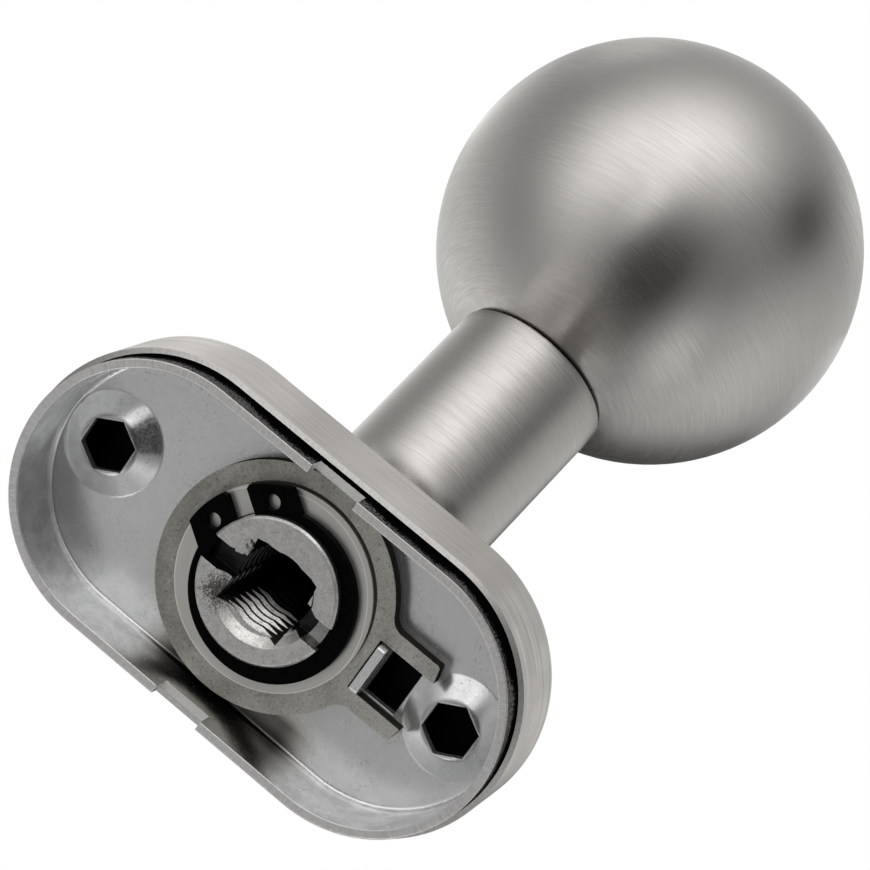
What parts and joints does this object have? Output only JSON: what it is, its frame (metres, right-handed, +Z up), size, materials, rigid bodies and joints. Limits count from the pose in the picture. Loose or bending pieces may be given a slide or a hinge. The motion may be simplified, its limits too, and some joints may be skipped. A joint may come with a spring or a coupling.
{
  "type": "fixed door knob",
  "caption": "Fixed ball knob on a cranked neck with an oblong rose, its open back showing the sheet base plate, forked stop plate, retaining ring and slotted spigot for a square spindle.",
  "frame": {"origin": "on the door plane, on the axis of the spigot, at the middle of the oblong rose", "axes": "+Y along the spigot's axis out of the knob's back, into the door; +Z up the long side of the rose, away from the forked end; -X the side that the ball leans to"},
  "size_m": [0.0768, 0.096, 0.062],
  "materials": {
    "stainless_ball": "satin, brushed in rings about the neck's axis",
    "stainless_neck": "satin, brushed round the neck",
    "stainless_cover": "satin, brushed along the rim, plain cut edge",
    "zinc_sheet": "bright zinc plate, faintly mottled",
    "spigot_steel": "plated, mottled, burred at the broach and the thread",
    "black_spring_steel": "black phosphated",
    "washer_steel": "satin",
    "stop_steel": "dull, scuffed, with dark specks",
    "plain_steel": "turned"
  },
  "bodies": {
    "root": {"knob_ball": "stainless_ball", "knob_neck": "stainless_neck", "joining_stud": "plain_steel", "cover_rose": "stainless_cover", "base_plate": "zinc_sheet", "spindle_spigot": "spigot_steel", "retaining_ring": "black_spring_steel", "shim_washer": "washer_steel", "stop_plate": "stop_steel", "guide_bush": "plain_steel"}
  },
  "joints": []
}
